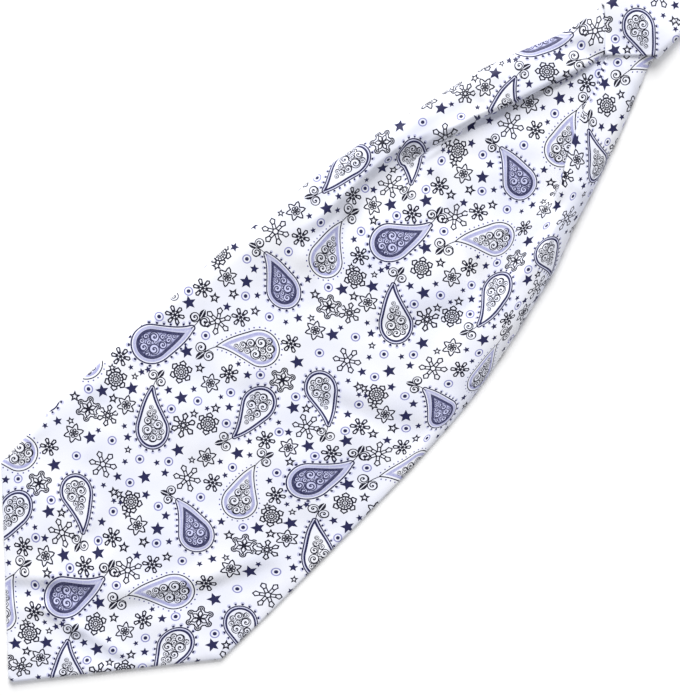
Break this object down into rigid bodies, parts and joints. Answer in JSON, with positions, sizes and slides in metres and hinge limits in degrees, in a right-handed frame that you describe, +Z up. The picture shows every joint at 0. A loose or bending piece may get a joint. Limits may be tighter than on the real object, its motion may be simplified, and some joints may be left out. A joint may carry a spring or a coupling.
{
  "type": "silk cravat",
  "caption": "Printed silk cravat laid out flat: pointed blades, each drawn in by an inverted box pleat to a straight neckband with pointed ends.",
  "frame": {"origin": "centre of the cravat's underside, on the surface that it lies on", "axes": "+X along the cravat from the tip of blade 1 to the tip of blade 2, +Y across it, +Z up out of the cloth"},
  "size_m": [1.2108, 0.1502, 0.0112],
  "materials": {
    "printed_silk": "white silk satin printed with a tossed paisley, flower and star pattern in navy and lavender"
  },
  "bodies": {
    "root": {"blade_1_front": "printed_silk", "blade_1_back": "printed_silk", "blade_2_front": "printed_silk", "blade_2_back": "printed_silk", "neckband_front": "printed_silk", "neckband_back": "printed_silk"}
  },
  "joints": []
}
